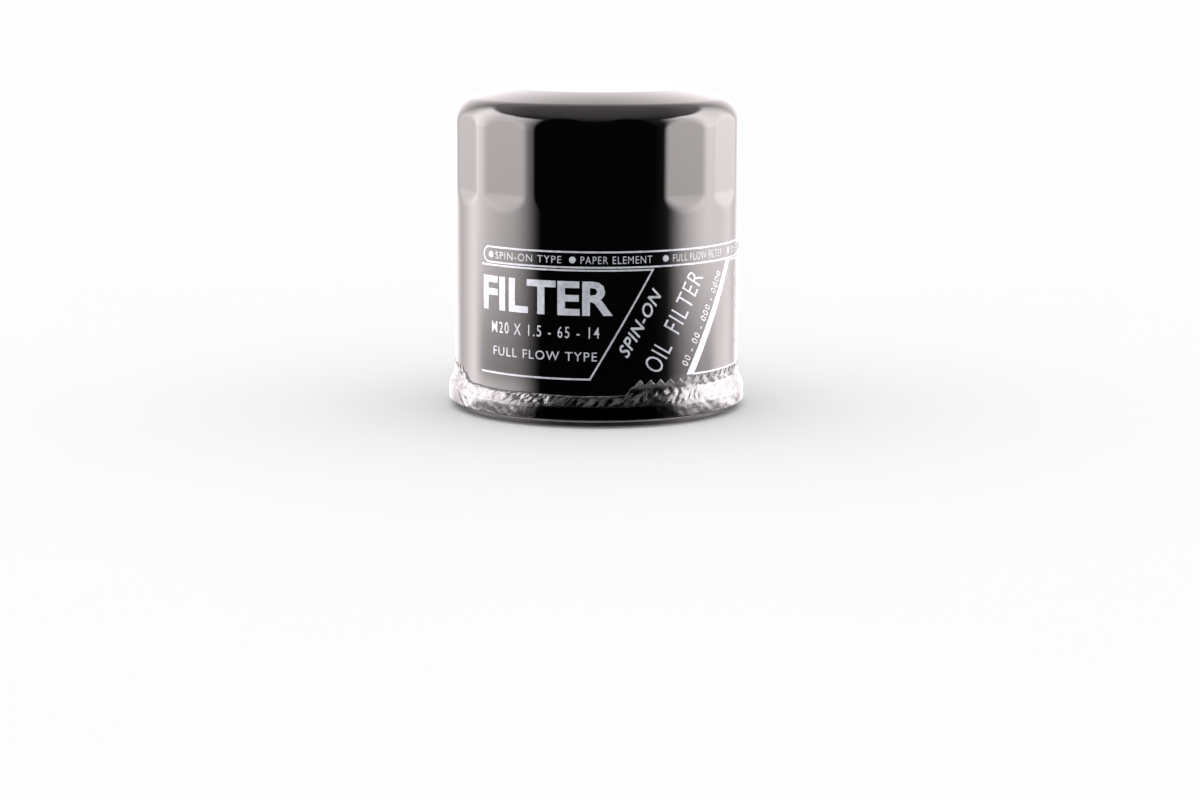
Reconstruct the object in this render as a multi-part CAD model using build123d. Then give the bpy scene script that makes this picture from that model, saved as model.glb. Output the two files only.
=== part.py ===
from build123d import *
import math
import os

# Spin-on oil filter for a small engine, in millimetres. +Z points to the closed end of the can.
# The origin is on the axis, in the plane of the base gasket's sealing face.

# ---- driving dimensions ----
overall_height = 74.4        # gasket face to crown
can_radius = 33.0            # outside of the plain cylinder
shell_gauge = 0.4            # drawn steel sheet
lid_gauge = 0.4              # seaming lid sheet
clearance = 0.03             # between folded or stacked layers

# Closed end of the can.
crown_radius = 20.5          # flat crown
shoulder_edge = 21.7         # where the gentle dome starts
shoulder_arc = 50.0          # radius of the gentle dome
corner_arc = 5.5             # radius of the corner between dome and wall
corner_slope = 19.0          # degrees, where the dome meets the corner
corner_depth = 7.6           # from the crown down to the corner's centre

# Wrench flats on the can.
flat_count = 14
flat_apothem = 32.5          # 65 mm across flats
flat_bottom = 23.5           # from the crown down to the end of the flats
flat_run_out = 3.9           # height of the ramp from flat to cylinder
flat_turn = -1.0             # degrees that the flats are turned about the axis

# Double seam between can and lid.
rim_z = 1.6                  # underside of the seam, above the gasket face
seam_radius = 34.3
seam_top = 5.2
body_hook_end = 4.35         # centre of the hook's rounded edge
cover_hook_end = 2.75
fold_radius = 0.42           # centreline of the folds in the seam

# Seaming lid and its gasket groove.
lid_inner_radius = 22.2
lid_face_z = 4.6             # underside of the lid
ridge_z = 2.0                # underside of the ridge inside the gasket
ridge_inner_radius = 25.4
ridge_outer_radius = 27.1
ridge_fold = 0.6
weld_count = 8
weld_circle = 23.7
weld_radius = 1.1
weld_depth = 0.12
gasket_inner_radius = 27.45
gasket_outer_radius = 31.75
gasket_edge = 0.35

# Threaded base plate, M20 x 1.5.
plate_gauge = 2.8
plate_radius = 32.2
plate_edge = 0.5
thread_pitch = 1.5
thread_major = 10.0
thread_minor = 9.19
thread_lead = 1.0            # chamfer at the stud's side
neck_radius = 12.2
neck_foot_radius = 13.6      # step that carries the rubber valve's collar
neck_foot_z = 11.6
neck_top = 14.0
neck_edge = 0.4
inlet_count = 8
inlet_circle = 18.0
inlet_radius = 2.75

# Rubber anti-drainback valve.
valve_bore_gap = 0.1
collar_radius = 15.0
skirt_radius = 25.3
skirt_gauge = 0.9

# Filter element.
cap_gauge = 0.35
cap_fold = 0.5
element_bottom = 13.4        # underside of the lower end cap
element_top = 58.35          # top of the upper end cap
cap_radius = 29.85
cap_rim = 3.0
tube_radius = 13.45
tube_gauge = 0.4
tube_end_gap = 0.35
tube_hole_radius = 1.6
tube_hole_rows = 9
tube_hole_columns = 8
pleat_count = 40
pleat_inner = 14.4
pleat_outer = 28.2
paper = 0.6
glue = 0.9
clip_gauge = 0.3
clip_half_gap = 1.1
clip_depth = 2.8

# Bypass valve inside the top of the centre tube.
port_radius = 6.0
cage_radius = 9.5
cage_gauge = 0.5
cage_depth = 10.0
cage_fold = 0.6
window_count = 4
window_width = 5.0
window_height = 5.5
guide_gap = 0.25             # between the rivet and the hole that guides it
seal_radius = 7.7
seal_gauge = 1.0
disc_radius = 7.9
disc_gauge = 0.6
rivet_radius = 1.8
rivet_head_radius = 3.6
rivet_head = 0.7
bypass_coil = 4.9
bypass_wire = 0.9
bypass_turns = 5

# Hold-down spring between the element and the crown.
hold_coil = 15.0
hold_wire = 1.6
hold_turns = 3
spring_end_gap = 0.1

# Clear shrink band over the seam.
band_gauge = 0.15
band_gap = 0.05
band_top = 10.8
band_neck_z = 8.3
band_lip_radius = 32.3

# ---- heights that follow from them ----
plate_low = lid_face_z + lid_gauge
plate_high = plate_low + plate_gauge
cap_floor = element_bottom + cap_gauge + clearance
cap_ceiling = element_top - cap_gauge - clearance
disc_high = cap_ceiling - seal_gauge - clearance
disc_low = disc_high - disc_gauge


def section(*points):
    """A closed outline of (radius, height) points as a face in the XZ plane."""
    return Plane.XZ * make_face(Polyline(*points, close=True))


def spun(face):
    return revolve(face, Axis.Z, 360)


def ring(inner, outer, low, high):
    return spun(section((inner, low), (outer, low), (outer, high), (inner, high)))


def strip(points, radii, gauge):
    """Sheet seen on edge: a centreline with rounded corners, thickened to both sides."""
    line = FilletPolyline(*points, radius=radii)
    return Face(Wire(line.edges()).offset_2d(gauge / 2))


def sheet_ring(points, radii, gauge):
    """Sheet whose centreline of (radius, height) points is turned about the axis."""
    return spun(Plane.XZ * strip(points, radii, gauge))


def around(count, shape, first=0.0):
    return [Rot(0, 0, first + 360 * i / count) * shape for i in range(count)]


def coil(radius, wire, turns, low, high):
    """Open coil spring that fills the space between two heights."""
    rise = high - low - wire
    path = Helix(pitch=rise / turns, height=rise, radius=radius)
    end = Plane(origin=path @ 0, z_dir=path % 0) * Circle(wire / 2)
    return Pos(0, 0, low + wire / 2) * sweep(end, path=path, is_frenet=True)


def can_solid(inset):
    """The can without its hollow, with every outside face moved inwards by the inset."""
    top = overall_height - inset
    wall = can_radius - inset
    corner = corner_arc - inset
    dome = shoulder_arc - inset
    slope = math.radians(corner_slope)
    centre_r, centre_z = can_radius - corner_arc, overall_height - corner_depth
    join = (centre_r + corner * math.sin(slope), centre_z + corner * math.cos(slope))
    dome_r, dome_z = join[0] - dome * math.sin(slope), join[1] - dome * math.cos(slope)

    def on_dome(radius):
        return (radius, dome_z + math.sqrt(dome**2 - (radius - dome_r)**2))

    edge = on_dome(shoulder_edge)
    half = (math.pi / 2 - slope) / 2
    on_corner = (centre_r + corner * math.cos(half), centre_z + corner * math.sin(half))
    outline = [
        Line((0, top), (crown_radius, top)),
        Spline((crown_radius, top), edge, tangents=[(1, 0), (1, -0.17)]),
        ThreePointArc(edge, on_dome((join[0] + shoulder_edge) / 2), join),
        ThreePointArc(join, on_corner, (wall, centre_z)),
        Polyline((wall, centre_z), (wall, seam_top), (0, seam_top), (0, top)),
    ]
    flat = flat_apothem - inset
    flat_z = overall_height - flat_bottom
    ramp_z = flat_z - flat_run_out
    cutter = Plane.XZ * make_face(Polyline(
        (flat, top + 1), (flat, flat_z), (wall, ramp_z), (wall + 5, ramp_z), (wall + 5, top + 1), close=True))
    cutter = extrude(cutter, amount=8, both=True)
    return spun(Plane.XZ * make_face(outline)) - around(flat_count, cutter, flat_turn + 90 - 180 / flat_count)


def make_shell():
    """Drawn can whose open edge is turned outwards and up into the seam."""
    wall = can_radius - shell_gauge / 2
    hook = can_radius + lid_gauge + 2.5 * clearance + shell_gauge / 2
    turn_z = rim_z + lid_gauge + clearance + shell_gauge / 2
    path = [(wall, seam_top + 0.6), (wall, turn_z), (hook, turn_z), (hook, body_hook_end)]
    return can_solid(0) - can_solid(shell_gauge) + sheet_ring(path, fold_radius, shell_gauge)


def make_lid():
    """Thin stamping that holds the gasket, folds over the can's edge and is spot-welded to the plate."""
    mid_z = lid_face_z + lid_gauge / 2
    ridge = ridge_z + lid_gauge / 2
    ridge_in, ridge_out = ridge_inner_radius + lid_gauge / 2, ridge_outer_radius - lid_gauge / 2
    chuck = can_radius - shell_gauge - clearance - lid_gauge / 2
    outer = seam_radius - lid_gauge / 2
    hook = can_radius + 1.25 * clearance + lid_gauge / 2
    rim, fold_z = rim_z + lid_gauge / 2, seam_top - lid_gauge / 2
    path = [
        (lid_inner_radius + lid_gauge / 2, mid_z), (ridge_in, mid_z), (ridge_in, ridge), (ridge_out, ridge),
        (ridge_out, mid_z), (chuck, mid_z), (chuck, rim), (outer, rim), (outer, fold_z), (hook, fold_z),
        (hook, cover_hook_end),
    ]
    radii = [ridge_fold] * 5 + [fold_radius] * 4
    dimple = Pos(weld_circle, 0, lid_face_z) * Cylinder(weld_radius, 2 * weld_depth)
    return sheet_ring(path, radii, lid_gauge) - around(weld_count, dimple, 180 / weld_count)


def make_sealant():
    """Seaming compound in the fold over the body hook."""
    low, high = body_hook_end + shell_gauge / 2 + clearance, seam_top - lid_gauge - 2 * clearance
    fold_outer = seam_radius - lid_gauge
    return ring(fold_outer - 0.4, fold_outer - 0.1, low, high)


def make_plate():
    """Thick plate with the threaded neck and the ring of inlet holes."""
    plate = spun(section(
        (thread_minor + thread_lead, plate_low), (plate_radius - plate_edge, plate_low),
        (plate_radius, plate_low + plate_edge), (plate_radius, plate_high),
        (neck_foot_radius + 1.2, plate_high), (neck_foot_radius, plate_high + 1.2),
        (neck_foot_radius, neck_foot_z), (neck_radius, neck_foot_z), (neck_radius, neck_top - neck_edge),
        (neck_radius - neck_edge, neck_top), (thread_minor + neck_edge, neck_top),
        (thread_minor, neck_top - neck_edge), (thread_minor, plate_low + thread_lead),
    ))
    hole = Pos(inlet_circle, 0, plate_low) * Cylinder(inlet_radius, 4 * plate_gauge)
    return plate - around(inlet_count, hole) - thread_grooves()


def thread_grooves():
    """One groove for each turn of the thread, with flats of an eighth and a quarter of the pitch."""
    root, mouth = thread_pitch / 16, thread_pitch * 3 / 8
    first = plate_low + thread_lead + thread_pitch / 2
    turns = int((neck_top - neck_edge - plate_low - thread_lead) / thread_pitch)
    heights = [first + i * thread_pitch for i in range(turns)]
    return [spun(section(
        (thread_minor - 0.2, z - mouth), (thread_minor, z - mouth), (thread_major, z - root),
        (thread_major, z + root), (thread_minor, z + mouth), (thread_minor - 0.2, z + mouth),
    )) for z in heights]


def make_gasket():
    body = ring(gasket_inner_radius, gasket_outer_radius, 0, lid_face_z - clearance)
    return fillet(body.edges(), gasket_edge)


def make_drainback_valve():
    """Rubber collar round the neck, with a thin skirt whose lip covers the inlet holes."""
    low, high = neck_foot_z + clearance, element_bottom - clearance
    bore, lip = neck_radius + valve_bore_gap, plate_high + 0.05
    return spun(section(
        (bore, low), (collar_radius - 0.4, low), (skirt_radius - 1.1, lip + 0.2), (skirt_radius - 0.4, lip),
        (skirt_radius, lip + 0.3), (skirt_radius - 0.7, lip + skirt_gauge), (collar_radius + 0.4, high - 0.3),
        (collar_radius, high), (bore, high),
    ))


def make_lower_cap():
    """Pressed cap with its rim and its hub turned up."""
    rim, hub = cap_radius - cap_gauge / 2, tube_radius - tube_gauge - clearance - cap_gauge / 2
    low = element_bottom + cap_gauge / 2
    path = [(rim, low + cap_rim), (rim, low), (hub, low), (hub, low + cap_rim)]
    return sheet_ring(path, cap_fold, cap_gauge)


def make_upper_cap():
    """Pressed cap with its rim turned down; its middle hole is the bypass valve's seat."""
    rim, high = cap_radius - cap_gauge / 2, element_top - cap_gauge / 2
    path = [(rim, high - cap_rim), (rim, high), (port_radius + cap_gauge / 2, high)]
    return sheet_ring(path, cap_fold, cap_gauge)


def make_glue(low):
    """Bed of set plastisol that seals the pleats' ends in a cap."""
    return ring(tube_radius + clearance, cap_radius - cap_gauge - 0.2, low, low + glue)


def make_tube():
    """Perforated tube that stops the paper collapsing inwards."""
    low, high = element_bottom + cap_gauge + tube_end_gap, element_top - cap_gauge - tube_end_gap
    step = (high - low) / tube_hole_rows
    drill = Rot(0, 90, 0) * Cylinder(tube_hole_radius, 4 * tube_radius)
    tube = ring(tube_radius - tube_gauge, tube_radius, low, high)
    for row in range(tube_hole_rows):
        turn = 180 / tube_hole_columns * (row % 2)
        level = Pos(0, 0, low + (row + 0.5) * step)
        tube -= [level * Rot(0, 0, turn + 360 * i / tube_hole_columns) * drill
                 for i in range(tube_hole_columns // 2)]
    return tube


def make_media():
    """Resin-bonded paper in radial pleats."""
    low, high = cap_floor + glue + clearance, cap_ceiling - glue - clearance
    radii = [pleat_outer, pleat_inner] * pleat_count
    corners = [(r * math.cos(math.pi * i / pleat_count), r * math.sin(math.pi * i / pleat_count))
               for i, r in enumerate(radii)]
    line = Wire(Polyline(*corners, close=True).edges())
    pleats = Face(line.offset_2d(paper / 2)) - Face(line.offset_2d(-paper / 2))
    return Pos(0, 0, low) * extrude(pleats, amount=high - low, dir=(0, 0, 1))


def make_media_clip():
    """Folded steel strip that joins the two ends of the paper at one pleat's tip."""
    low, high = cap_floor + glue + 2 * clearance, cap_ceiling - glue - 2 * clearance
    fold = pleat_outer + paper / 2 + 0.1 + clip_gauge / 2
    root = fold - clip_depth
    path = [(root, -clip_half_gap), (fold, -clip_half_gap), (fold, clip_half_gap), (root, clip_half_gap)]
    return Pos(0, 0, low) * extrude(strip(path, 0.4, clip_gauge), amount=high - low, dir=(0, 0, 1))


def make_cage():
    """Pressed cup under the upper cap that carries the bypass spring and guides the rivet."""
    flange = tube_radius - tube_gauge - 0.4
    wall, high = cage_radius - cage_gauge / 2, cap_ceiling - cage_gauge / 2
    low = cap_ceiling - cage_depth
    guide = rivet_radius + guide_gap + cage_gauge / 2
    cage = sheet_ring([(flange, high), (wall, high), (wall, low), (guide, low)], cage_fold, cage_gauge)
    window = Pos(cage_radius, 0, cap_ceiling - cage_depth / 2) * Box(4, window_width, window_height)
    return cage - around(window_count, window, 180 / window_count)


def make_bypass_disc():
    """Steel disc with a spigot that centres the spring."""
    hub = bypass_coil - bypass_wire / 2 - guide_gap
    return spun(section(
        (rivet_radius + clearance, disc_low - 0.9), (hub - 0.5, disc_low - 0.9), (hub, disc_low),
        (disc_radius, disc_low), (disc_radius, disc_high), (rivet_radius + clearance, disc_high),
    ))


def make_bypass_seal():
    return ring(rivet_radius + clearance, seal_radius, disc_high + clearance, cap_ceiling)


def make_bypass_rivet():
    """Rivet that holds the seal on the disc; its shank slides in the cage's hole."""
    low, head_low = cap_ceiling - cage_depth + cage_gauge, cap_ceiling + clearance
    head_high = head_low + rivet_head
    return spun(section(
        (0, low - 1.6), (rivet_radius - 0.3, low - 1.6), (rivet_radius, low - 1.3), (rivet_radius, head_low),
        (rivet_head_radius, head_low), (rivet_head_radius - 0.3, head_high - 0.2),
        (rivet_head_radius - 1.2, head_high), (0, head_high),
    ))


def make_bypass_spring():
    floor = cap_ceiling - cage_depth + cage_gauge / 2
    return coil(bypass_coil, bypass_wire, bypass_turns, floor + clearance, disc_low - clearance)


def make_hold_down_spring():
    ceiling = overall_height - shell_gauge
    return coil(hold_coil, hold_wire, hold_turns, element_top + spring_end_gap, ceiling - spring_end_gap)


def make_band():
    """Clear film shrunk over the seam, with a lip turned in under the rim."""
    off = band_gauge / 2 + band_gap
    path = [
        (band_lip_radius, rim_z - off), (seam_radius + off, rim_z - off), (seam_radius + off, seam_top - 0.3),
        (can_radius + off, band_neck_z), (can_radius + off, band_top),
    ]
    return sheet_ring(path, [0.6, 1.2, 3.0], band_gauge)


nodes = {
    "shell": make_shell(),
    "seaming_lid": make_lid(),
    "seam_sealant": make_sealant(),
    "base_plate": make_plate(),
    "base_gasket": make_gasket(),
    "drainback_valve": make_drainback_valve(),
    "lower_end_cap": make_lower_cap(),
    "upper_end_cap": make_upper_cap(),
    "lower_adhesive": make_glue(cap_floor),
    "upper_adhesive": make_glue(cap_ceiling - glue),
    "centre_tube": make_tube(),
    "pleated_media": make_media(),
    "media_clip": make_media_clip(),
    "bypass_cage": make_cage(),
    "bypass_seal": make_bypass_seal(),
    "bypass_disc": make_bypass_disc(),
    "bypass_rivet": make_bypass_rivet(),
    "bypass_spring": make_bypass_spring(),
    "hold_down_spring": make_hold_down_spring(),
    "shrink_band": make_band(),
}

os.makedirs("parts", exist_ok=True)
for name, solid in nodes.items():
    export_step(solid, f"parts/{name}.step")
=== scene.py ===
import math
import random

import bmesh
import bpy
from mathutils import Matrix, Vector, noise


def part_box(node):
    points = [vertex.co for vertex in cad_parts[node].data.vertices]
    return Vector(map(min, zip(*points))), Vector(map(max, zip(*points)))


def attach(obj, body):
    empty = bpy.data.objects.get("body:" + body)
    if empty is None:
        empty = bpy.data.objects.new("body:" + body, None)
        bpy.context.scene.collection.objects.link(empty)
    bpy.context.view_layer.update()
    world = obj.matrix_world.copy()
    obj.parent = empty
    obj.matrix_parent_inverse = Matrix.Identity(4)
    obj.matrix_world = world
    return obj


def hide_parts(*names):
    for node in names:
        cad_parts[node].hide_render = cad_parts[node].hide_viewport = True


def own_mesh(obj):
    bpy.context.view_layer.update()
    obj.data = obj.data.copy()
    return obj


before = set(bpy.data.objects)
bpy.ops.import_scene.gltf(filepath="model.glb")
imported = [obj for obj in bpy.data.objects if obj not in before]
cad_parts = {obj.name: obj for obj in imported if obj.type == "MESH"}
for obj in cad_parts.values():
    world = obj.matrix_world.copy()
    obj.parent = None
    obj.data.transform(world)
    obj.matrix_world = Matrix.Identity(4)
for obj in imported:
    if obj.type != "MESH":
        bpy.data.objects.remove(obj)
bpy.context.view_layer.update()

# Spin-on oil filter, closed end up. Sections are drawn in millimetres, and a finished mesh is
# scaled to metres.
mm = 0.001
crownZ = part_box("shell")[1][2] / mm
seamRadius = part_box("seaming_lid")[1][0] / mm
seamLow = 1.6  # underside of the double seam
seamProud = 1.3  # how far the seam stands out from the wall
canRadius = seamRadius - seamProud
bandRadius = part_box("shrink_band")[1][0] / mm
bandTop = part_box("shrink_band")[1][2] / mm


# shader helpers

class Signal:
    # a value on its way through the nodes, so that maths reads as sums
    def __init__(self, desk, socket):
        self.desk = desk
        self.socket = socket

    def __add__(self, other):
        return self.desk.maths("ADD", self, other)

    def __radd__(self, other):
        return self.desk.maths("ADD", other, self)

    def __sub__(self, other):
        return self.desk.maths("SUBTRACT", self, other)

    def __rsub__(self, other):
        return self.desk.maths("SUBTRACT", other, self)

    def __mul__(self, other):
        return self.desk.maths("MULTIPLY", self, other)

    def __rmul__(self, other):
        return self.desk.maths("MULTIPLY", other, self)

    def __truediv__(self, other):
        return self.desk.maths("DIVIDE", self, other)

    def __pow__(self, other):
        return self.desk.maths("POWER", self, other)


class Desk:
    # the node tree of one material or of the world, and the nodes that get used most
    def __init__(self, tree):
        self.tree = tree
        tree.nodes.clear()

    def node(self, kind, settings=None, sockets=None, give=0):
        item = self.tree.nodes.new(kind)
        for key, value in (settings or {}).items():
            setattr(item, key, value)
        for key, value in (sockets or {}).items():
            if isinstance(value, Signal):
                self.tree.links.new(value.socket, item.inputs[key])
            else:
                item.inputs[key].default_value = value
        return Signal(self, item.outputs[give]) if len(item.outputs) else item

    def maths(self, operation, first, second=0.0):
        return self.node("ShaderNodeMath", {"operation": operation}, {0: first, 1: second})

    def ease(self, value, start, end, low=0.0, high=1.0):
        sockets = {"Value": value, "From Min": start, "From Max": end,
                   "To Min": low, "To Max": high}
        return self.node("ShaderNodeMapRange", {"interpolation_type": "SMOOTHSTEP"}, sockets)

    def blend(self, mask, first, second):
        return self.node("ShaderNodeMix", {"data_type": "RGBA"}, {0: mask, 6: first, 7: second}, 2)

    def place(self, scale=(1, 1, 1)):
        spot = self.node("ShaderNodeTexCoord", give="Object")
        return self.node("ShaderNodeMapping", None, {"Vector": spot, "Scale": scale})

    def axes(self, vector):
        return [self.node("ShaderNodeSeparateXYZ", None, {0: vector}, axis) for axis in "XYZ"]

    def grain(self, scale, detail=3.0, stretch=(1, 1, 1), rough=0.55):
        sockets = {"Vector": self.place(stretch), "Scale": scale, "Detail": detail,
                   "Roughness": rough}
        return self.node("ShaderNodeTexNoise", None, sockets, "Fac")

    def bump(self, height, strength, distance):
        sockets = {"Strength": strength, "Distance": distance, "Height": height}
        return self.node("ShaderNodeBump", None, sockets)


def newFinish(name, build, fixed):
    finish = bpy.data.materials.new(name)
    finish.use_nodes = True
    desk = Desk(finish.node_tree)
    sockets = dict(fixed)
    sockets.update(build(desk))
    shader = desk.node("ShaderNodeBsdfPrincipled", None, sockets)
    desk.node("ShaderNodeOutputMaterial", None, {"Surface": shader})
    return finish


def rgb(red, green, blue):
    return (red, green, blue, 1.0)


def grey(level):
    return (level, level, level, 1.0)


# mesh helpers

def sectionLine(bm, corners, steps=5):
    # a line in the XZ plane through corners: radius, height and, where it is rounded, the
    # rounding and its segments
    verts = [bm.verts.new((corner[0], 0, corner[1])) for corner in corners]
    for first, second in zip(verts, verts[1:]):
        bm.edges.new((first, second))
    for vert, corner in zip(verts, corners):
        if len(corner) > 2 and corner[2]:
            segments = corner[3] if len(corner) > 3 else steps
            bmesh.ops.bevel(bm, geom=[vert], offset=corner[2], offset_type="OFFSET",
                            affect="VERTICES", segments=segments, profile=0.5, material=-1)


def spinFull(bm, steps):
    # one whole turn about the filter's axis
    bmesh.ops.spin(bm, geom=bm.verts[:] + bm.edges[:], cent=(0, 0, 0), axis=(0, 0, 1),
                   angle=2 * math.pi, steps=steps, use_merge=True)
    bmesh.ops.remove_doubles(bm, verts=bm.verts[:], dist=1e-4)
    bmesh.ops.recalc_face_normals(bm, faces=bm.faces[:])


def finishPiece(name, bm, finish, body, nodes=(), wall=0.0, sharp=35):
    # scales the mesh to metres, gives sheet pieces their gauge, and seats the piece on its body
    bmesh.ops.scale(bm, vec=(mm, mm, mm), verts=bm.verts[:])
    mesh = bpy.data.meshes.new(name)
    bm.to_mesh(mesh)
    bm.free()
    mesh.shade_smooth()
    mesh.set_sharp_from_angle(angle=math.radians(sharp))
    mesh.materials.append(finish)
    piece = bpy.data.objects.new(name, mesh)
    bpy.context.scene.collection.objects.link(piece)
    if wall:
        solid = piece.modifiers.new("gauge", "SOLIDIFY")
        solid.thickness = wall * mm
        solid.offset = 0.0
        solid.use_even_offset = True
    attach(piece, body)
    if nodes:
        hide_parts(*nodes)
    return piece


def refinedCopy(node, name, finish, body, sharp=32):
    # the CAD node's own shape, merged so that its round faces shade smoothly
    bm = bmesh.new()
    bm.from_mesh(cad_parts[node].data)
    bmesh.ops.remove_doubles(bm, verts=bm.verts[:], dist=2e-6)
    bmesh.ops.scale(bm, vec=(1 / mm,) * 3, verts=bm.verts[:])
    return finishPiece(name, bm, finish, body, (node,), sharp=sharp)


# finishes

paintLook = {
    "colour": 0.0009, "roughness": 0.045, "uneven": 0.035, "peelScale": 420, "peel": 0.05, "dust": 0.35,
    "dustRough": 0.4,
}


def paintNodes(desk):
    patches = desk.grain(60, 4)
    peel = desk.grain(paintLook["peelScale"], 2)
    smooth, colour = paintLook["roughness"], paintLook["colour"]
    rough = desk.ease(patches, 0.35, 0.75, smooth, smooth + paintLook["uneven"])
    sockets = {"Vector": desk.place(), "Scale": 210.0}
    spots = desk.node("ShaderNodeTexVoronoi", None, sockets, "Distance")
    rare = desk.ease(desk.grain(95, 1), 0.66, 0.72)
    dust = desk.ease(spots, 0.045, 0.025) * rare * paintLook["dust"]
    tone = desk.blend(patches, grey(colour), grey(colour * 1.6))
    return {
        "Base Color": desk.blend(dust, tone, grey(0.5)),
        "Roughness": rough + dust * paintLook["dustRough"],
        "Normal": desk.bump(peel, paintLook["peel"], 0.00004),
    }


def zincNodes(desk):
    mottle = desk.grain(140, 5)
    sockets = {"Vector": desk.place(), "Scale": 260.0}
    flake = desk.axes(desk.node("ShaderNodeTexVoronoi", None, sockets, "Color"))[0]
    drawn = desk.grain(900, 2, (1, 1, 0.15))
    tone = desk.blend(mottle, rgb(0.50, 0.51, 0.50), rgb(0.68, 0.69, 0.67))
    return {
        "Base Color": desk.blend(flake * 0.25, tone, rgb(0.74, 0.76, 0.78)),
        "Roughness": desk.ease(mottle, 0.3, 0.7, 0.26, 0.42) + flake * 0.06,
        "Normal": desk.bump(drawn, 0.12, 0.00004),
    }


def lidNodes(desk):
    # bare zinc underneath, black paint where the seam faces outwards
    zinc = zincNodes(desk)
    x, y, z = desk.axes(desk.place())
    radius = (x * x + y * y) ** 0.5
    ragged = radius + (desk.grain(350, 3) - 0.5) * 0.0009
    mask = desk.ease(ragged, (seamRadius - 0.95) * mm, (seamRadius - 0.55) * mm)
    return {
        "Base Color": desk.blend(mask, zinc["Base Color"], grey(paintLook["colour"])),
        "Metallic": 1 - mask,
        "Roughness": zinc["Roughness"] * (1 - mask) + mask * 0.06,
        "Normal": zinc["Normal"],
    }


# plain finishes: blotch and grain sizes, the two tones, roughness from and to, and grain depth
plainLook = {
    "plateSteel": {
        "blotch": 220, "grain": 1400, "stretch": (0.2, 0.2, 1), "dark": (0.36, 0.36, 0.35),
        "light": (0.55, 0.55, 0.53), "rough": (0.27, 0.45), "strength": 0.2, "depth": 0.00004,
    },
    "tinplate": {
        "blotch": 160, "grain": 700, "stretch": (1, 0.06, 1), "dark": (0.60, 0.60, 0.58),
        "light": (0.78, 0.78, 0.75), "rough": (0.2, 0.34), "strength": 0.15, "depth": 0.00003,
    },
    "springSteel": {
        "blotch": 380, "grain": 1500, "stretch": (0.3, 0.3, 1), "dark": (0.20, 0.20, 0.20),
        "light": (0.42, 0.41, 0.39), "rough": (0.25, 0.42), "strength": 0.2, "depth": 0.00003,
    },
    "valveRubber": {
        "blotch": 140, "grain": 2200, "detail": 3, "dark": (0.20, 0.045, 0.02),
        "light": (0.29, 0.075, 0.035), "rough": (0.45, 0.6), "strength": 0.2, "depth": 0.00004,
    },
    "seamCompound": {
        "blotch": 420, "dark": (0.38, 0.36, 0.32), "light": (0.55, 0.52, 0.46), "rough": (0.4, 0.62),
        "strength": 0.3, "depth": 0.0001,
    },
    "plastisol": {
        "blotch": 260, "dark": (0.30, 0.05, 0.03), "light": (0.42, 0.09, 0.05), "rough": (0.28, 0.45),
        "strength": 0.3, "depth": 0.0002,
    },
}


def plainNodes(name):
    look = plainLook[name]

    def build(desk):
        blotch = desk.grain(look["blotch"], 4)
        grain = blotch
        if "grain" in look:
            grain = desk.grain(look["grain"], look.get("detail", 2), look.get("stretch", (1, 1, 1)))
        return {
            "Base Color": desk.blend(blotch, rgb(*look["dark"]), rgb(*look["light"])),
            "Roughness": desk.ease(blotch, 0.3, 0.7, *look["rough"]),
            "Normal": desk.bump(grain, look["strength"], look["depth"]),
        }

    return build


def gasketNodes(desk):
    bloom = desk.grain(180, 4)
    pores = desk.grain(2600, 3)
    return {
        "Base Color": desk.blend(desk.ease(bloom, 0.4, 0.8), grey(0.012), rgb(0.035, 0.034, 0.032)),
        "Roughness": desk.ease(bloom, 0.3, 0.7, 0.42, 0.62),
        "Normal": desk.bump(pores, 0.25, 0.00005),
    }


def paperNodes(desk):
    fibre = desk.grain(1500, 5, (1, 1, 0.35))
    cloud = desk.grain(120, 3)
    x, y, z = desk.axes(desk.place())
    ribs = desk.maths("SINE", z * 2600.0)
    tone = desk.blend(cloud, rgb(0.52, 0.36, 0.15), rgb(0.66, 0.49, 0.24))
    return {
        "Base Color": desk.blend(desk.ease(fibre, 0.35, 0.75) * 0.45, tone, rgb(0.80, 0.66, 0.40)),
        "Roughness": desk.ease(fibre, 0.3, 0.7, 0.75, 0.92),
        "Normal": desk.bump(fibre * 0.6 + ribs * 0.4, 0.35, 0.0001),
    }


def filmFinish(name):
    # clear film with a pale layer mixed in: partly the film's own haze where it lies on the wall,
    # partly painted highlight along its creases and cut edge
    finish = bpy.data.materials.new(name)
    finish.use_nodes = True
    desk = Desk(finish.node_tree)
    ripple = desk.grain(620, 4, (1, 1, 0.5))
    streak = desk.grain(260, 5, (1, 1, 2.2), 0.7)
    creases = desk.bump(ripple, 0.45, 0.00012)
    haze_and_painted_highlight = desk.node("ShaderNodeAttribute", {"attribute_name": "haze_and_painted_highlight"}, give="Fac")
    clear = desk.node("ShaderNodeBsdfPrincipled", None, {
        "Base Color": desk.blend(ripple, grey(0.68), rgb(0.58, 0.60, 0.62)),
        "IOR": 1.43,
        "Transmission Weight": 1.0,
        "Roughness": desk.ease(ripple, 0.3, 0.8, 0.02, 0.08),
        "Normal": creases,
    })
    pale = desk.node("ShaderNodeBsdfPrincipled", None, {
        "Base Color": desk.blend(streak, grey(0.48), grey(0.76)),
        "Coat Weight": 0.4,
        "Roughness": desk.ease(ripple, 0.3, 0.8, 0.22, 0.36),
        "Normal": creases,
    })
    # the pale layer goes where the vertex attribute says: real haze on the wall, painted highlight on
    # the creases and the cut edge
    mask = haze_and_painted_highlight * desk.ease(streak, 0.25, 0.7, 0.25, 1.0)
    surface = desk.node("ShaderNodeMixShader", None, {0: mask, 1: clear, 2: pale})
    desk.node("ShaderNodeOutputMaterial", None, {"Surface": surface})
    return finish


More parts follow.
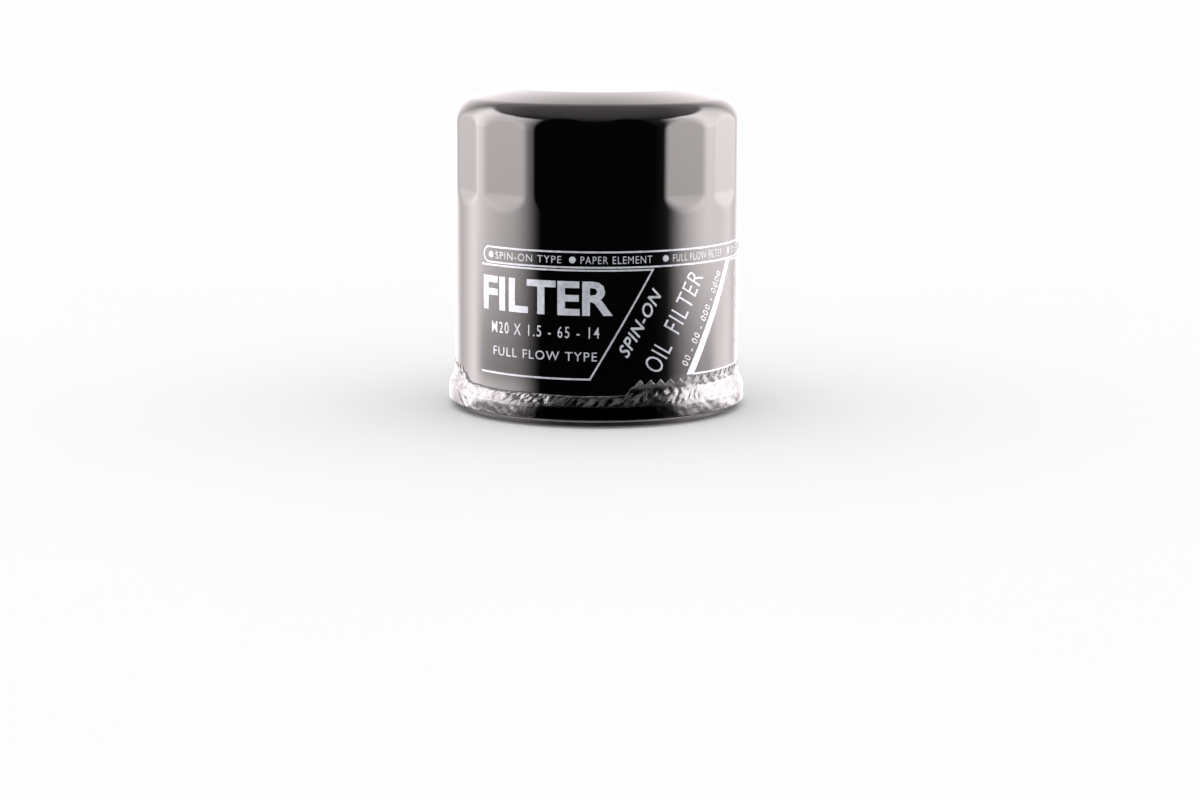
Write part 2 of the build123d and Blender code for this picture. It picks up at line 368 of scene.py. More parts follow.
def inkNodes(desk):
    wear = desk.grain(700, 4)
    worn = desk.ease(wear, 0.25, 0.6)
    return {
        "Base Color": desk.blend(worn, rgb(0.42, 0.44, 0.49), rgb(0.58, 0.60, 0.66)),
        "Roughness": desk.ease(wear, 0.3, 0.7, 0.34, 0.48),
        "Normal": desk.bump(wear, 0.1, 0.00003),
    }


metal = {"Metallic": 1.0}
finishes = {
    "blackPaint": newFinish("blackPaint", paintNodes, {"IOR": 1.5}),
    "zincSheet": newFinish("zincSheet", zincNodes, metal),
    "seamLid": newFinish("seamLid", lidNodes, {"IOR": 1.5}),
    "plateSteel": newFinish("plateSteel", plainNodes("plateSteel"), metal),
    "tinplate": newFinish("tinplate", plainNodes("tinplate"), metal),
    "springSteel": newFinish("springSteel", plainNodes("springSteel"), metal),
    "gasketRubber": newFinish("gasketRubber", gasketNodes, {}),
    "valveRubber": newFinish("valveRubber", plainNodes("valveRubber"), {}),
    "seamCompound": newFinish("seamCompound", plainNodes("seamCompound"), {}),
    "plastisol": newFinish("plastisol", plainNodes("plastisol"), {"Coat Weight": 0.2}),
    "filterPaper": newFinish("filterPaper", paperNodes, {}),
    "clearFilm": filmFinish("clearFilm"),
    "labelInk": newFinish("labelInk", inkNodes, {"Metallic": 0.25}),
}
print("finishes made", len(finishes))


# drawn can

canLook = {
    "gauge": 0.4, "steps": 504, "crown": 19.4, "dome": (25.6, 1.23), "cornerDrop": 3.49,
    "cornerRound": 4.07, "flats": 14, "apothem": 32.5, "flatBottom": 23.5, "runOut": 4.4, "rise": 1.1,
    "below": 1.5, "turn": -1.0, "edgeSoftness": 0.14, "runOutSoftness": 0.36, "rows": 34, "hook": 0.675,
    "hookTop": 4.35,
}


def softLess(first, second, reach):
    # the smaller of two values, rounded where they cross
    near = max(reach - abs(first - second), 0.0) / reach
    return min(first, second) - near * near * reach / 4


def smooth(share):
    share = min(max(share, 0.0), 1.0)
    return share * share * (3 - 2 * share)


def pressFlats(bm, look, inset):
    # moves the wall in to the flats, which run out smoothly into the round at their lower ends
    pitch = 2 * math.pi / look["flats"]
    first = math.radians(look["turn"]) - math.pi / 2 + pitch / 2
    flatZ = crownZ - look["flatBottom"]
    for vert in bm.verts:
        x, y, z = vert.co
        radius = math.hypot(x, y)
        if radius < 25 or z < flatZ - look["runOut"] - look["below"]:
            continue
        angle = math.atan2(y, x)
        off = (angle - first + pitch / 2) % pitch - pitch / 2
        ramp = smooth((flatZ + 0.6 - z) / (look["runOut"] + 1.2))
        plane = look["apothem"] - inset + ramp * look["rise"]
        reach = look["edgeSoftness"] + ramp * look["runOutSoftness"]
        pressed = softLess(radius, plane / math.cos(off), reach)
        vert.co.x *= pressed / radius
        vert.co.y *= pressed / radius


def makeCan():
    look = canLook
    half = look["gauge"] / 2
    top = crownZ - half
    wall = canRadius - half
    hook = canRadius + look["hook"]
    foldZ = seamLow + 0.63
    domeRadius, domeDrop = look["dome"]
    corners = [
        (0, top), (10, top), (look["crown"], top, 1.5, 8), (domeRadius, top - domeDrop, 3.2, 6),
        (wall, top - look["cornerDrop"], look["cornerRound"], 16),
    ]
    # the wall is finely divided where the flats are pressed, and plain below
    low = crownZ - look["flatBottom"] - look["runOut"] - look["below"]
    high = top - look["cornerDrop"] - look["cornerRound"]
    rows = look["rows"]
    corners += [(wall, high - 0.3 - (high - 0.3 - low) * i / rows) for i in range(rows + 1)]
    corners += [(wall, 30), (wall, 12), (wall, foldZ, 0.42, 5), (hook, foldZ, 0.3, 5)]
    corners += [(hook, look["hookTop"])]
    bm = bmesh.new()
    sectionLine(bm, corners)
    spinFull(bm, look["steps"])
    pressFlats(bm, look, half)
    finishPiece("can_shell", bm, finishes["blackPaint"], "canister", ("shell",),
                look["gauge"], sharp=60)


makeCan()
print("can done")


# seaming lid

lidLook = {
    "gauge": 0.4, "steps": 384, "fold": 0.4, "bore": 22.2, "face": 4.6, "grooveLow": 2.0,
    "ridgeInner": 25.4, "ridgeOuter": 27.1, "ridgeRound": 0.55, "seamTop": 5.2, "hookFoot": 2.75,
    "weldCount": 8, "weldCircle": 23.7, "weldRadius": 1.1, "weldDepth": 0.12,
}


def makeLid():
    # the weld face, a ridge that holds the gasket from inside, the gasket's groove, and the seam
    look = lidLook
    half = look["gauge"] / 2
    fold, bend = look["fold"], look["ridgeRound"]
    inner = look["bore"] + half
    face = look["face"] + half
    ridge = look["grooveLow"] + half
    ridgeInner = look["ridgeInner"] + half
    ridgeOuter = look["ridgeOuter"] - half
    rim = seamLow + half
    outer = seamRadius - half
    chuck = canRadius - canLook["gauge"] - 0.03 - half
    hook = canRadius + 0.0375 + half
    top = look["seamTop"] - half
    corners = [(inner + i * 0.2, face) for i in range(13)]
    corners += [
        (ridgeInner, face, bend), (ridgeInner, ridge, bend), (ridgeOuter, ridge, bend),
        (ridgeOuter, face, bend), (chuck, face, fold), (chuck, rim, fold), (outer, rim, fold),
        (outer, top, fold), (hook, top, fold), (hook, look["hookFoot"]),
    ]
    bm = bmesh.new()
    sectionLine(bm, corners)
    spinFull(bm, look["steps"])
    pitch = 2 * math.pi / look["weldCount"]
    for vert in bm.verts:
        radius = math.hypot(vert.co.x, vert.co.y)
        if radius > look["ridgeInner"] - 0.2:
            continue
        off = (math.atan2(vert.co.y, vert.co.x) % pitch) - pitch / 2
        reach = math.hypot(radius - look["weldCircle"], off * radius)
        vert.co.z += look["weldDepth"] * smooth((look["weldRadius"] + 0.15 - reach) / 0.4)
    finishPiece("seam_lid", bm, finishes["seamLid"], "canister", ("seaming_lid",),
                look["gauge"])


makeLid()
print("lid done")


# clear shrink band

bandLook = {
    "teeth": 83, "columns": 8, "rows": 22, "gauge": 0.05, "foot": 2.0, "inset": 0.07,
    "toothHeight": 1.3,
    "tip": 10.75, "smoothEdge": 7.35, "smoothFrom": -60.0, "smoothTo": 14.0, "flareLow": 4.9,
    "flareHigh": 8.4, "crinkle": 0.3, "seed": 7,
}


def edgeHeight(look, degrees, column):
    # height of the cut edge: a zigzag most of the way round, curled down along one stretch
    swing = column % look["columns"] / look["columns"]
    tooth = abs(2 * swing - 1) * look["toothHeight"]
    wander = 0.25 * noise.noise(Vector((degrees * 0.05, look["seed"], 0)))
    zigzag = look["tip"] - look["toothHeight"] + tooth - abs(wander)
    curled = look["smoothEdge"] + 0.25 * noise.noise(Vector((degrees * 0.06, 3.1, 0)))
    rise = smooth((degrees - look["smoothTo"] + 3) / 5.0)
    fall = smooth((look["smoothFrom"] - degrees) / 9.0)
    share = max(rise, fall)
    return curled + (zigzag - curled) * share


def makeBand():
    look = bandLook
    steps = look["teeth"] * look["columns"]
    outer = bandRadius - look["inset"]
    foot, flareLow, flareHigh = look["foot"], look["flareLow"], look["flareHigh"]
    rows = look["rows"]
    profile = [
        (32.3, seamLow - 0.12), (33.2, seamLow - 0.12), (33.9, seamLow - 0.1), (34.2, seamLow - 0.02),
        (34.36, seamLow + 0.14), (outer, seamLow + 0.3),
    ]
    profile += [(outer, foot + i * (flareLow - foot) / 6) for i in range(7)]
    firstFree = len(profile)
    profile += [(outer, flareLow + (bandTop - flareLow) * (i + 1) / rows) for i in range(rows)]
    bm = bmesh.new()
    level = bm.verts.layers.int.new("level")
    haze_and_painted_highlight = bm.verts.layers.float.new("haze_and_painted_highlight")
    verts = [bm.verts.new((r, 0, z)) for r, z in profile]
    for i, vert in enumerate(verts):
        vert[level] = i
    for first, second in zip(verts, verts[1:]):
        bm.edges.new((first, second))
    spinFull(bm, steps)
    # above the seam the film leans in to the wall up to its cut edge, and creases all the way round
    for vert in bm.verts:
        index = vert[level]
        x, y, z = vert.co
        angle = math.atan2(x, -y)
        degrees = math.degrees(angle)
        column = round(angle / (2 * math.pi) * steps)
        radius = math.hypot(x, y)
        if index >= firstFree:
            edge = edgeHeight(look, degrees, column)
            share = (index - firstFree + 1) / rows
            z = flareLow + (edge - flareLow) * share
            climb = min(max((z - flareLow) / (flareHigh - flareLow), 0), 1)
            radius = outer + (canRadius + 0.09 - outer) * (0.75 * smooth(climb) + 0.25 * climb)
            curl = smooth((share - 0.84) / 0.16) * smooth((9.3 - edge) / 1.2)
            radius += 0.22 * curl
            lip = smooth((share - 0.93) / 0.07)
            wallZone = smooth((z - flareHigh) / 1.0)
            # pale layer: some haze where the film lies on the wall, and painted highlight along the cut
            # edge and its curl
            vert[haze_and_painted_highlight] = 0.16 * wallZone + lip * (0.2 + 0.25 * curl)
        around = angle * canRadius
        fine = noise.noise(Vector((around * 0.6 + z * 0.4, z * 0.55, 1.7)))
        tiny = noise.noise(Vector((around * 1.7 - z * 0.9, z * 1.2, 5.3)))
        fold = 1 - abs(noise.noise(Vector((around * 0.75 - z * 0.8, z * 0.3, 8.2)))) * 3.4
        # two stretches are creased more than the rest
        busy = 0.45 + 0.55 * smooth((-8 - degrees) / 14) * smooth((degrees + 95) / 25)
        busy = max(busy, 0.8 * smooth((degrees - 24) / 8) * smooth((62 - degrees) / 10))
        free = smooth((z - flareLow + 0.1) / 0.9) * smooth((flareHigh + 0.6 - z) / 1.2)
        shift = look["crinkle"] * busy * free * (0.8 * fine + 0.35 * tiny + 0.6 * max(fold, 0) - 0.3)
        seamZone = smooth((z - 1.7) / 0.5) * smooth((flareLow + 0.6 - z) / 0.8)
        tight = (0.04 * fine + 0.015 * tiny) * seamZone
        wall = 0.05 * (fine + 0.3) * smooth((z - flareHigh + 0.3) / 0.8)
        # painted highlight on the crease ridges, through the same pale layer
        vert[haze_and_painted_highlight] += 0.5 * busy * free * smooth((max(fold, 0) - 0.35) / 0.5) * 0.6
        radius = min(radius + shift + tight + wall, bandRadius - 0.03)
        radius = max(radius, canRadius + 0.06) if index >= firstFree else radius
        vert.co = (radius * math.sin(angle), -radius * math.cos(angle), z)
    finishPiece("clear_band", bm, finishes["clearFilm"], "canister", ("shrink_band",),
                look["gauge"], sharp=70)


makeBand()
print("band done")


# printed label

# along is measured round the can from the front, and up from the gasket's face
inkLook = {
    "front": 0.035, "back": -0.02, "slice": 0.8, "line": 0.4, "low": 11.05, "panelTop": 35.6,
    "panelLeft": -29.7, "lineLeft": -30.0, "panelRight": 12.93, "panelFoot": -1.4, "slope": 60,
    "barFoot": 22.0, "barWide": 2.2, "barTop": 36.26, "farEnd": 160.8, "stripFrom": -27.25,
    "stripTo": 138.0, "stripUp": 37.98, "stripRound": 1.72, "stripPitch": 21.55,
    "dots": (-26.6, -5.4, 16.1, 37.6, 59.1, 80.6, 102.1, 123.6),
    "strip": ("SPIN-ON TYPE", "PAPER ELEMENT", "FULL FLOW FILTER", "BYPASS VALVE", "ANTI-DRAIN VALVE",
              "STEEL CANISTER", "RUBBER GASKET", "CLEAN ENGINE OIL"),
}


def ribbon(bm, path, width, closed=False):
    # a flat line of even width along (along, up) points
    pairs = []
    count = len(path)
    for i, point in enumerate(path):
        here = Vector(point)
        before = Vector(path[i - 1]) if i or closed else None
        after = Vector(path[(i + 1) % count]) if i < count - 1 or closed else None
        ahead = (after - here).normalized() if after else (here - before).normalized()
        behind = (here - before).normalized() if before else ahead
        side = Vector((-(ahead + behind).y, (ahead + behind).x)).normalized()
        reach = width / 2 / max(side.dot(Vector((-ahead.y, ahead.x))), 0.3)
        pairs.append([bm.verts.new((*(here + side * reach * sign), 0)) for sign in (1, -1)])
    if closed:
        pairs.append(pairs[0])
    for first, second in zip(pairs, pairs[1:]):
        bm.faces.new((first[0], first[1], second[1], second[0]))


def dot(bm, along, up, radius):
    place = Matrix.Translation((along, up, 0))
    bmesh.ops.create_circle(bm, cap_ends=True, segments=20, radius=radius, matrix=place)


def block(bm, along, up, width, height, angle=0.0):
    turn = Matrix.Translation((along, up, 0)) @ Matrix.Rotation(math.radians(angle), 4, "Z")
    middle = Matrix.Translation((width / 2, height / 2, 0)) @ Matrix.Diagonal((width, height, 1, 1))
    bmesh.ops.create_grid(bm, x_segments=1, y_segments=1, size=0.5, matrix=turn @ middle)


def word(bm, text, along, up, width, height, bold=0.0, slant=0.0, angle=0.0, spacing=1.0):
    # a word in the built-in typeface, fitted to a width and a cap height
    curve = bpy.data.curves.new("word", "FONT")
    curve.body = text
    curve.offset = bold
    curve.shear = slant
    curve.resolution_u = 3
    curve.space_character = spacing
    holder = bpy.data.objects.new("word", curve)
    bpy.context.scene.collection.objects.link(holder)
    bpy.context.view_layer.update()
    flat = bpy.data.meshes.new_from_object(holder)
    bpy.data.objects.remove(holder)
    bpy.data.curves.remove(curve)
    letters = bmesh.new()
    letters.from_mesh(flat)
    xs = [vert.co.x for vert in letters.verts]
    ys = [vert.co.y for vert in letters.verts]
    fit = Matrix.Diagonal((width / (max(xs) - min(xs)), height / (max(ys) - min(ys)), 1, 1))
    fit = fit @ Matrix.Translation((-min(xs), -min(ys), 0))
    turn = Matrix.Translation((along, up, 0)) @ Matrix.Rotation(math.radians(angle), 4, "Z")
    bmesh.ops.transform(letters, matrix=turn @ fit, verts=letters.verts[:])
    letters.to_mesh(flat)
    letters.free()
    bm.from_mesh(flat)
    bpy.data.meshes.remove(flat)


def dashRow(bm, along, up, width, height, dashes, angle=0.0, seed=1):
    # stands in for a row of small print: dashes of uneven length
    chance = random.Random(seed)
    lengths = [chance.uniform(0.6, 1.5) for i in range(dashes)]
    gap = 0.38
    scale = (width - gap * (dashes - 1)) / sum(lengths)
    ahead = Vector((math.cos(math.radians(angle)), math.sin(math.radians(angle))))
    start = Vector((along, up))
    for length in lengths:
        block(bm, start.x, start.y, length * scale, height, angle)
        start = start + ahead * (length * scale + gap)


def wrapInk(name, bm):
    # slices the flat print upright, gives it thickness and bends it round the can
    look = inkLook
    bmesh.ops.remove_doubles(bm, verts=bm.verts[:], dist=1e-5)
    xs = [vert.co.x for vert in bm.verts]
    cut = math.ceil(min(xs) / look["slice"]) * look["slice"]
    while cut < max(xs):
        bmesh.ops.bisect_plane(bm, geom=bm.verts[:] + bm.edges[:] + bm.faces[:], dist=1e-5,
                               plane_co=(cut, 0, 0), plane_no=(1, 0, 0))
        cut += look["slice"]
    for face in bm.faces:
        if face.normal.z < 0:
            face.normal_flip()
    made = bmesh.ops.extrude_face_region(bm, geom=bm.faces[:], use_keep_orig=True)
    lifted = [item for item in made["geom"] if isinstance(item, bmesh.types.BMVert)]
    bmesh.ops.translate(bm, vec=(0, 0, look["front"] - look["back"]), verts=lifted)
    bmesh.ops.recalc_face_normals(bm, faces=bm.faces[:])
    for vert in bm.verts:
        along, up, depth = vert.co
        angle = along / canRadius
        radius = canRadius + look["back"] + depth
        vert.co = (radius * math.sin(angle), -radius * math.cos(angle), up)
    bmesh.ops.recalc_face_normals(bm, faces=bm.faces[:])
    finishPiece(name, bm, finishes["labelInk"], "canister", sharp=30)


def diagonal(along, perp):
    # a place on the slanting part of the label: along it, and to its lower right
    slope = math.radians(inkLook["slope"])
    return (inkLook["panelFoot"] + along * math.cos(slope) + perp * math.sin(slope),
            11.0 + along * math.sin(slope) - perp * math.cos(slope))


def endArc(along, middle, radius, first, last):
    # half a circle of points, for the strip's round ends
    step = 15 if last > first else -15
    turns = [math.radians(turn) for turn in range(first, last + step, step)]
    return [(along + radius * math.cos(turn), middle + radius * math.sin(turn)) for turn in turns]


def makeLabel():
    # outline and strip first, then the large words, then the small print
    look = inkLook
    line, low, panelTop, farEnd = look["line"], look["low"], look["panelTop"], look["farEnd"]
    stripUp, stripRound = look["stripUp"], look["stripRound"]
    lines = bmesh.new()
    strip = endArc(look["stripFrom"], stripUp, stripRound, 270, 90)
    strip += endArc(look["stripTo"], stripUp, stripRound, 90, -90)
    ribbon(lines, strip, line, closed=True)
    for along in look["dots"]:
        dot(lines, along, 37.95, 0.75)
    panel = [(look["panelLeft"], panelTop), (look["panelRight"], panelTop), (look["panelFoot"], low),
             (look["lineLeft"], low)]
    ribbon(lines, panel, line)
    foot, wide, barTop = look["barFoot"], look["barWide"], look["barTop"]
    lean = (barTop - low) / math.tan(math.radians(look["slope"]))
    bar = [(foot, low), (foot + wide, low), (foot + lean + wide, barTop), (foot + lean, barTop)]
    lines.faces.new([lines.verts.new((*point, 0)) for point in bar])
    ribbon(lines, [(foot + wide, low), (farEnd, low)], line)
    ribbon(lines, [(foot + lean + wide, panelTop), (farEnd, panelTop)], line)
    wrapInk("label_lines", lines)

    words = bmesh.new()
    word(words, "FILTER", -29.2, 25.45, 32.9, 7.7, bold=0.028)
    word(words, "M20 X 1.5 - 65 - 14", -26.3, 20.3, 27.0, 2.6, bold=0.003, spacing=1.25)
    word(words, "FULL FLOW TYPE", -25.8, 15.15, 26.0, 2.05, bold=0.0, spacing=1.15)
    slope = look["slope"]
    word(words, "SPIN-ON", 7.13, 15.65, 16.7, 2.94, bold=0.016, slant=0.3, angle=slope, spacing=1.08)
    for text, along, width in (("OIL", 8.6, 6.9), ("FILTER", 18.7, 14.5)):
        start = diagonal(along, 13.6)
        word(words, text, *start, width, 4.64, bold=-0.006, angle=slope, spacing=1.1)
    wrapInk("label_words", words)

    small = bmesh.new()
    for place, text in enumerate(look["strip"]):
        along = -25.1 + look["stripPitch"] * place
        width = (16.3 if place else 17.2) - (place > 6) * 4
        word(small, text, along, 37.1, width, 1.65, bold=-0.004, spacing=1.15)
    start = diagonal(13.4, 19.5)
    word(small, "00 - 00 - 000 - 0000", *start, 23.4, 1.9, angle=slope, spacing=1.25)
    for row, up in enumerate((31.4, 26.0, 18.0)):
        dot(small, 42.9, up + 0.6, 0.5)
        dashRow(small, 44.4, up, 44.0 - 3 * (row % 2), 0.5, 13 + row, seed=10 + row)
        dashRow(small, 44.4, up - 2.2, 40.0 - 7 * (row % 2), 0.5, 12 + row, seed=14 + row)
    for row in range(5):
        dashRow(small, 98.0, 31.0 - row * 3.6, 44.0 - 6 * (row % 2), 0.5, 14, seed=20 + row)
    wrapInk("label_small_rows", small)


makeLabel()
print("label done")


# springs

springLook = {
    "endTurns": 0.75, "endPitch": 1.02, "perTurn": 56,
    "holdDown": {"coil": 15.0, "wire": 1.6, "active": 2.0, "low": 58.45, "high": 73.9, "section": 14},
    "bypass": {"coil": 4.9, "wire": 0.9, "active": 4.0, "low": 48.25, "high": 56.31, "section": 12},
}


def makeSpring(name, look, body, node):
    # open coils between closed ends, drawn by spinning the wire's section up the axis
    wire = look["wire"]
    endTurns = springLook["endTurns"]
    bm = bmesh.new()
    stand = Matrix.Translation((look["coil"], 0, look["low"] + wire / 2))
    stand = stand @ Matrix.Rotation(math.pi / 2, 4, "X")
    ring = bmesh.ops.create_circle(bm, segments=look["section"], radius=wire / 2, matrix=stand)["verts"]
    tip = ring[:] + list({edge for vert in ring for edge in vert.link_edges})
    endRise = springLook["endPitch"] * wire * endTurns
    openRise = look["high"] - look["low"] - wire - 2 * endRise
    for turns, rise in ((endTurns, endRise), (look["active"], openRise), (endTurns, endRise)):
        steps = round(springLook["perTurn"] * turns)
        made = bmesh.ops.spin(bm, geom=tip, cent=(0, 0, 0), axis=(0, 0, 1), dvec=(0, 0, rise / steps),
                              angle=2 * math.pi * turns, steps=steps, use_merge=False)
        tip = made["geom_last"]
    bmesh.ops.remove_doubles(bm, verts=bm.verts[:], dist=1e-5)
    ends = [edge for edge in bm.edges if edge.is_boundary]
    bmesh.ops.edgeloop_fill(bm, edges=ends)
    bmesh.ops.recalc_face_normals(bm, faces=bm.faces[:])
    return finishPiece(name, bm, finishes["springSteel"], body, (node,), sharp=50)


holdDown = makeSpring("hold_down_coil", springLook["holdDown"], "canister", "hold_down_spring")
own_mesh(holdDown)
bypassCoil = makeSpring("bypass_coil", springLook["bypass"], "element", "bypass_spring")
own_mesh(bypassCoil)
print("springs done")


# rubber anti-drainback valve

valveLook = {
    "bore": 12.3, "collar": 15.0, "skirt": 25.3, "low": 11.63, "high": 13.37, "lip": 7.85, "gauge": 0.9,
    "bendUnder": (19.8, 9.9), "bendOver": (20.3, 10.95), "bendRound": 1.5, "steps": 192,
}


def makeValve():
    # along the underside from the collar to the lip, and back over the top
    look = valveLook
    bore, collar, skirt, lip = look["bore"], look["collar"], look["skirt"], look["lip"]
    low, high, bend = look["low"], look["high"], look["bendRound"]
    corners = [
        (bore, low), (collar - 0.4, low, 0.3), (*look["bendUnder"], bend),
        (skirt - 1.1, lip + 0.2, 0.15), (skirt - 0.4, lip, 0.12), (skirt, lip + 0.3, 0.12),
        (skirt - 0.7, lip + look["gauge"], 0.2), (*look["bendOver"], bend),
        (collar + 0.4, high - 0.3, 0.25), (collar, high, 0.1), (bore, high), (bore, low),
    ]
    bm = bmesh.new()
    sectionLine(bm, corners, 4)
    spinFull(bm, look["steps"])
    return finishPiece("drainback_skirt", bm, finishes["valveRubber"], "drainback_flap",
                       ("drainback_valve",))


valve = makeValve()
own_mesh(valve)
print("valve done")


# threaded plate

plateLook = {
    "low": 5.0, "high": 7.8, "radius": 32.2, "edge": 0.5, "foot": 13.6, "footTop": 11.6, "neck": 12.2,
    "top": 14.0, "minor": 9.19, "major": 10.0, "pitch": 1.5, "turns": 10, "lead": 1.0, "topLead": 0.4,
    "steps": 96, "inlets": 8, "inletCircle": 18.0, "inletRadius": 2.75,
}


def threadTube(bm, look):
    # one pitch of the thread's outline, wound up the bore and trimmed level at both ends
    pitch, minor, major = look["pitch"], look["minor"], look["major"]
    start = look["low"] - 2 * pitch
    outline = [(minor, 0), (minor, pitch / 4), (major, pitch * 9 / 16), (major, pitch * 11 / 16),
               (minor, pitch)]
    verts = [bm.verts.new((radius, 0, start + rise)) for radius, rise in outline]
    edges = [bm.edges.new(pair) for pair in zip(verts, verts[1:])]
    turns = look["turns"]
    bmesh.ops.spin(bm, geom=verts + edges, cent=(0, 0, 0), axis=(0, 0, 1), angle=2 * math.pi * turns,
                   steps=look["steps"] * turns, dvec=(0, 0, pitch / look["steps"]), use_merge=False)
    bmesh.ops.remove_doubles(bm, verts=bm.verts[:], dist=1e-4)
    for height, way in ((look["low"] + look["lead"], -1), (look["top"] - look["topLead"], 1)):
        bmesh.ops.bisect_plane(bm, geom=bm.verts[:] + bm.edges[:] + bm.faces[:], dist=1e-6,
                               plane_co=(0, 0, height), plane_no=(0, 0, way), clear_outer=True)


def cutHoles(bm, look):
    # inlet holes, cut by a ring of drills in one go
    plain = bpy.data.meshes.new("plain")
    bm.to_mesh(plain)
    bm.free()
    drills = bmesh.new()
    for i in range(look["inlets"]):
        turn = Matrix.Rotation(2 * math.pi * i / look["inlets"], 4, "Z")
        place = turn @ Matrix.Translation((look["inletCircle"], 0, look["low"] + 1.4))
        bmesh.ops.create_cone(drills, cap_ends=True, segments=40, radius1=look["inletRadius"],
                              radius2=look["inletRadius"], depth=6, matrix=place)
    drillMesh = bpy.data.meshes.new("drills")
    drills.to_mesh(drillMesh)
    drills.free()
    work = bpy.data.objects.new("plain", plain)
    tool = bpy.data.objects.new("drills", drillMesh)
    for item in (work, tool):
        bpy.context.scene.collection.objects.link(item)
    cut = work.modifiers.new("inlets", "BOOLEAN")
    cut.object = tool
    cut.operation = "DIFFERENCE"
    cut.solver = "EXACT"
    bpy.context.view_layer.update()
    drilled = bpy.data.meshes.new_from_object(work.evaluated_get(bpy.context.evaluated_depsgraph_get()))
    for item in (work, tool):
        bpy.data.objects.remove(item)
    result = bmesh.new()
    result.from_mesh(drilled)
    bpy.data.meshes.remove(drilled)
    return result


def makePlate():
    # a plain outside, a threaded bore bridged to it at both ends, and then the holes
    look = plateLook
    low, high, top, radius = look["low"], look["high"], look["top"], look["radius"]
    foot, footTop, neck, minor = look["foot"], look["footTop"], look["neck"], look["minor"]
    bm = bmesh.new()
    corners = [
        (minor + look["lead"], low), (radius, low, look["edge"], 3), (radius, high, 0.3, 3),
        (foot, high, 1.2, 5), (foot, footTop, 0.2, 2), (neck, footTop, 0.2, 2), (neck, top, 0.4, 3),
        (minor + look["topLead"], top),
    ]
    sectionLine(bm, corners)
    spinFull(bm, look["steps"])
    thread = bmesh.new()
    threadTube(thread, look)
    bore = bpy.data.meshes.new("bore")
    thread.to_mesh(bore)
    thread.free()
    bm.from_mesh(bore)
    bpy.data.meshes.remove(bore)
    middle = (low + top) / 2
    rims = [edge for edge in bm.edges if edge.is_boundary]
    for below in (True, False):
        ends = [edge for edge in rims if (edge.verts[0].co.z < middle) == below]
        bmesh.ops.bridge_loops(bm, edges=ends)
    bmesh.ops.recalc_face_normals(bm, faces=bm.faces[:])
    bm = cutHoles(bm, look)
    finishPiece("threaded_plate", bm, finishes["plateSteel"], "canister", ("base_plate",))


makePlate()
print("plate done")


# the other pieces keep the frame's shapes

refined = (
    ("base_gasket", "face_gasket", "gasketRubber", "canister", "gasket_rubber"),
    ("lower_end_cap", "lower_cap", "tinplate", "element", "tinplate"),
    ("upper_end_cap", "upper_cap", "tinplate", "element", "tinplate"),
    ("centre_tube", "perforated_tube", "tinplate", "element", "tinplate"),
    ("bypass_cage", "valve_cage", "tinplate", "element", "tinplate"),
    ("bypass_disc", "valve_disc", "plateSteel", "bypass_poppet", "plate_steel"),
    ("bypass_rivet", "valve_rivet", "plateSteel", "bypass_poppet", "plate_steel"),
    ("bypass_seal", "valve_seal", "gasketRubber", "bypass_poppet", "gasket_rubber"),
)
for node, name, finish, body, slot in refined:
    refinedCopy(node, name, finishes[finish], body)

kept = {
    "seam_sealant": "seamCompound", "lower_adhesive": "plastisol", "upper_adhesive": "plastisol",
    "pleated_media": "filterPaper", "media_clip": "tinplate",
}
for node, finish in kept.items():
    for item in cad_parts[node].material_slots:
        item.material = finishes[finish]
print("frame pieces finished", len(refined) + len(kept))


# studio

cameraLook = {
    "place": (0.0009, -0.673, 0.1195), "pitch": 10.02, "roll": 0.24, "lens": 87.0, "film": 36.0,
    "near": 0.01, "far": 50.0,
}


def setCamera():
    data = bpy.data.cameras.new("camera")
    data.lens = cameraLook["lens"]
    data.sensor_width = cameraLook["film"]
    data.clip_start = cameraLook["near"]
    data.clip_end = cameraLook["far"]
    camera = bpy.data.objects.new("camera", data)
    tilt = Matrix.Rotation(math.radians(90 - cameraLook["pitch"]), 4, "X")
    roll = Matrix.Rotation(math.radians(cameraLook["roll"]), 4, "Z")
    camera.matrix_world = Matrix.Translation(cameraLook["place"]) @ tilt @ roll
    bpy.context.scene.collection.objects.link(camera)
    bpy.context.scene.camera = camera


roomLook = {
    "base": 1.1, "wall": 1.25, "left": 7.2, "leftTurn": -95, "right": 9.0, "rightTurn": 103,
    "aboveFloor": 0.28, "below": 0.9, "roof": 0.15, "zenith": 0.95, "roofSide": 0.9, "soft": 1.05,
    "tint": (1.06, 0.975, 0.98),
}


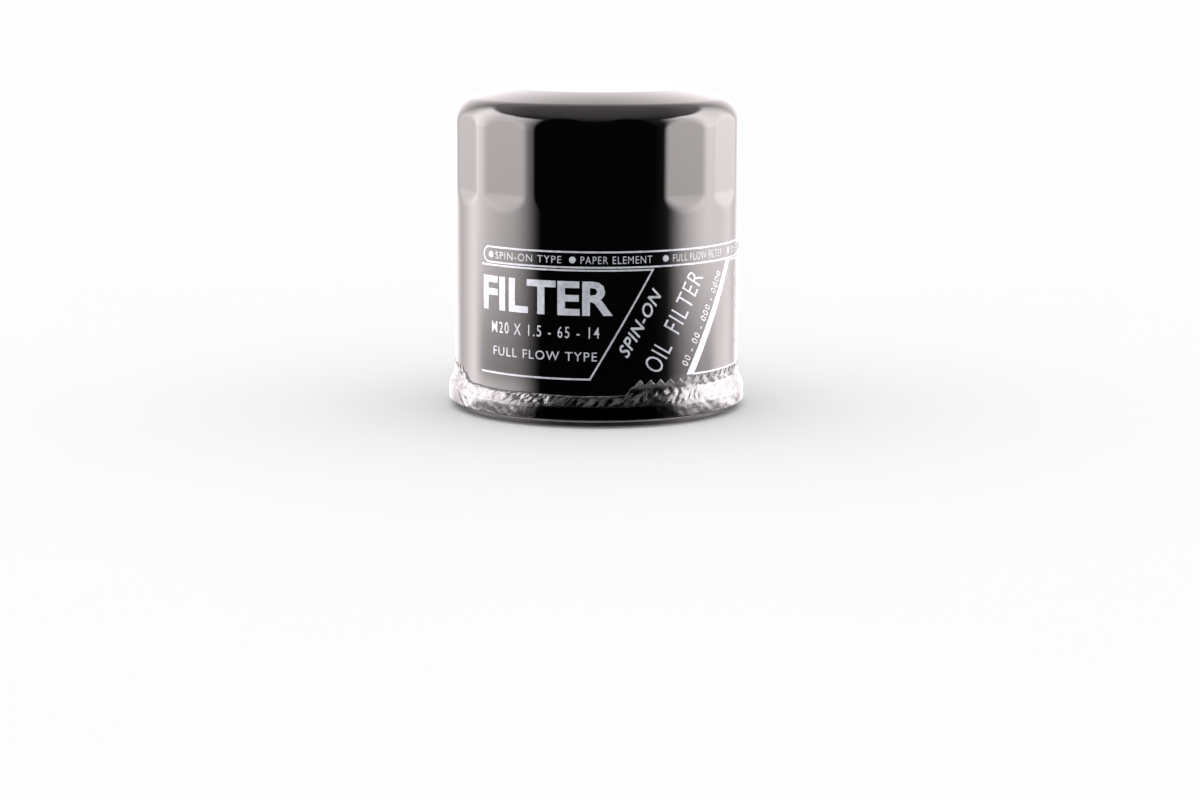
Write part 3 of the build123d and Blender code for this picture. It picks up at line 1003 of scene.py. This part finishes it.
def lightRoom():
    # gloss reflects a dark front, two tall side panels, a pale back wall and a roof; matt surfaces
    # get even light
    look = roomLook
    world = bpy.data.worlds.new("studio")
    bpy.context.scene.world = world
    world.use_nodes = True
    desk = Desk(world.node_tree)
    x, y, z = desk.axes(desk.node("ShaderNodeTexCoord", give="Generated"))
    flat = (x * x + y * y) ** 0.5 + 0.0001

    def panel(turn, wide, narrow, level):
        turn = math.radians(turn)
        facing = (x * math.sin(turn) - y * math.cos(turn)) / flat
        edges = (math.cos(math.radians(wide)), math.cos(math.radians(narrow)))
        return desk.ease(facing, *edges) * level

    left = panel(look["leftTurn"], 50, 18, look["left"]) * desk.ease(y, 0.4, 0.7, 1.0, 0.6)
    right = panel(look["rightTurn"], 46, 4, look["right"]) * desk.ease(y, 0.1, 0.55, 1.0, 0.58)
    sides = (left + right) * (desk.ease(z, -0.12, -0.02) * look["aboveFloor"] + 1)
    low = desk.ease(y, -0.75, 0.1) * look["base"] + desk.ease(y, 0.5, 0.95) * look["wall"] + sides
    # darker towards the floor in front, then all round, and pale again straight down
    front = desk.ease(y, 0.5, 0.2)
    low = low * (1 - front * desk.ease(z, -0.115, -0.17, 0.0, 0.55))
    low = low * desk.ease(z, -0.166, -0.19, 1.0, 0.34)
    low = low * desk.ease(z, -0.19, -0.32, 1.0, 0.3)
    low = low + desk.ease(z, -0.45, -0.8) * look["below"]
    roof = desk.ease(z, 0.6, 0.97, look["roof"], look["zenith"])
    roof = roof + desk.ease(y, -0.4, 0.4) * desk.ease(z, 0.9, 0.7) * look["roofSide"]
    upper = desk.ease(z, 0.6, 0.67)
    level = low * (1 - upper) + roof * upper
    seen = desk.node("ShaderNodeLightPath", give="Is Camera Ray")
    glossy = desk.node("ShaderNodeLightPath", give="Is Glossy Ray") * (1 - seen)
    strength = level * glossy + (1 - glossy - seen) * look["soft"] + seen
    tint = desk.blend(glossy, grey(1.0), rgb(*look["tint"]))
    glow = desk.node("ShaderNodeBackground", None, {"Color": tint, "Strength": strength})
    desk.node("ShaderNodeOutputWorld", None, {"Surface": glow})


floorLook = {"radius": 4.0, "colour": 0.93}


def makeFloor():
    # pale floor, clear from below so that the underside can be looked at
    bm = bmesh.new()
    bmesh.ops.create_circle(bm, cap_ends=True, segments=96, radius=floorLook["radius"])
    mesh = bpy.data.meshes.new("floor")
    bm.to_mesh(mesh)
    bm.free()
    floor = bpy.data.objects.new("floor", mesh)
    bpy.context.scene.collection.objects.link(floor)
    finish = bpy.data.materials.new("paleFloor")
    finish.use_nodes = True
    desk = Desk(finish.node_tree)
    tone = desk.blend(desk.grain(8, 2), grey(floorLook["colour"]), grey(floorLook["colour"] * 1.02))
    matt = desk.node("ShaderNodeBsdfDiffuse", None, {"Color": tone})
    clear = desk.node("ShaderNodeBsdfTransparent")
    behind = desk.node("ShaderNodeNewGeometry", give="Backfacing")
    surface = desk.node("ShaderNodeMixShader", None, {0: behind, 1: matt, 2: clear})
    desk.node("ShaderNodeOutputMaterial", None, {"Surface": surface})
    mesh.materials.append(finish)
    floor.visible_glossy = False
    floor.visible_transmission = False


setCamera()
lightRoom()
makeFloor()
bpy.context.scene.view_settings.view_transform = "Standard"
print("studio done")
